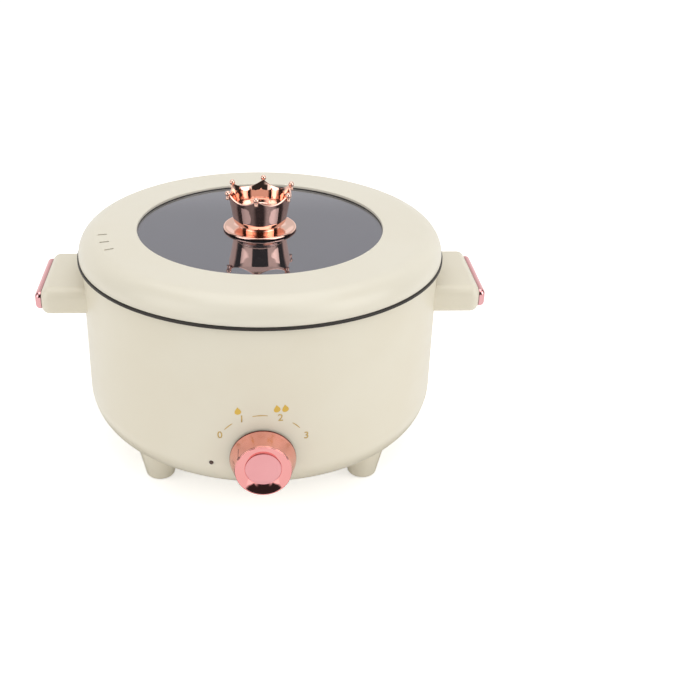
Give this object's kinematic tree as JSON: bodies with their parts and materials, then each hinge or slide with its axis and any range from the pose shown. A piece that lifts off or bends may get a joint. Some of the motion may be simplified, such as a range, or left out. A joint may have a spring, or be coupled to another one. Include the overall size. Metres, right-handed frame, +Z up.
{
  "type": "electric hot pot with lid",
  "caption": "Round electric hot pot on short feet with side handles, a front heat knob and a lift-off glass lid topped by a crown-shaped knob.",
  "frame": {"origin": "on the pot's upright axis, in the plane that the four foot pads stand on", "axes": "+Z up along the pot's axis, -Y to the heat knob at the front, +Y to the power inlet at the back, X through the two side handles"},
  "size_m": [0.366, 0.3163, 0.2238],
  "materials": {
    "cream_plastic": "satin moulded plastic",
    "nonstick": "dark non-stick coating, satin",
    "lid_glass": "smoky mirror-like toughened glass",
    "rose_gold": "polished rose-gold plating",
    "knob_pink": "satin pink plastic",
    "gold_print": "printed gold ink",
    "pad_rubber": "matt rubber",
    "silicone": "matt silicone",
    "cover_plastic": "fine-grained moulded plastic",
    "aluminium_part": "turned aluminium",
    "element_steel": "heat-tinted steel",
    "shield_steel": "bright rolled sheet",
    "fastener_steel": "zinc-plated steel",
    "contact_brass": "plain brass",
    "black_plastic": "fine-grained black plastic",
    "ceramic_white": "unglazed white ceramic",
    "lamp_amber": "dark amber lens",
    "lamp_glass": "clear glow-lamp bulb",
    "lead_brown": "insulated lead, brown",
    "lead_blue": "insulated lead, blue",
    "lead_green": "insulated lead, green and yellow"
  },
  "bodies": {
    "base": {"housing": "cream_plastic", "foot_pad_back_right": "pad_rubber", "foot_pad_back_left": "pad_rubber", "foot_pad_front_left": "pad_rubber", "foot_pad_front_right": "pad_rubber", "handle_trim_right": "rose_gold", "handle_trim_left": "rose_gold", "inner_pot": "nonstick", "pot_seal": "silicone", "heater_plate": "aluminium_part", "heating_element": "element_steel", "element_terminals": "fastener_steel", "heat_shield": "shield_steel", "pot_pillars": "fastener_steel", "base_cover": "cover_plastic", "base_screws": "fastener_steel", "pillar_screws": "fastener_steel", "overheat_switch": "ceramic_white", "switch_strap": "shield_steel", "switch_blades": "contact_brass", "thermal_fuse": "fastener_steel", "fuse_clip": "shield_steel", "selector_body": "black_plastic", "selector_plate": "shield_steel", "selector_screws": "fastener_steel", "selector_blades": "contact_brass", "indicator_lens": "lamp_amber", "lamp_sleeve": "black_plastic", "glow_lamp": "lamp_glass", "power_inlet": "black_plastic", "inlet_pins": "contact_brass", "inlet_screws": "fastener_steel", "terminal_block": "ceramic_white", "lead_live": "lead_brown", "lead_earth": "lead_green", "lead_neutral": "lead_blue", "lead_selector": "lead_brown", "lead_element_left": "lead_brown", "lead_element_right": "lead_blue"},
    "lid": {"lid_ring": "cream_plastic", "lid_glass": "lid_glass", "glass_gasket": "silicone", "lid_clamp": "cover_plastic", "lid_clamp_screws": "fastener_steel", "crown_plate": "rose_gold", "crown_knob": "rose_gold", "crown_washer": "silicone", "lid_knob_screw": "fastener_steel", "lid_knob_washer": "fastener_steel"},
    "heat_knob": {"control_knob": "knob_pink", "knob_face": "knob_pink", "knob_pointer": "gold_print", "knob_clip": "fastener_steel", "selector_spindle": "fastener_steel"}
  },
  "joints": [
    {"name": "lid_lift", "type": "slide", "parent": "base", "child": "lid", "axis": [0, 0, 1], "range_m": [0, 0.2]},
    {"name": "heat_knob_turn", "type": "hinge", "parent": "base", "child": "heat_knob", "pos_m": [0, -0.147, 0.0593], "axis": [0, 1, 0], "range_deg": [0, 126]}
  ]
}
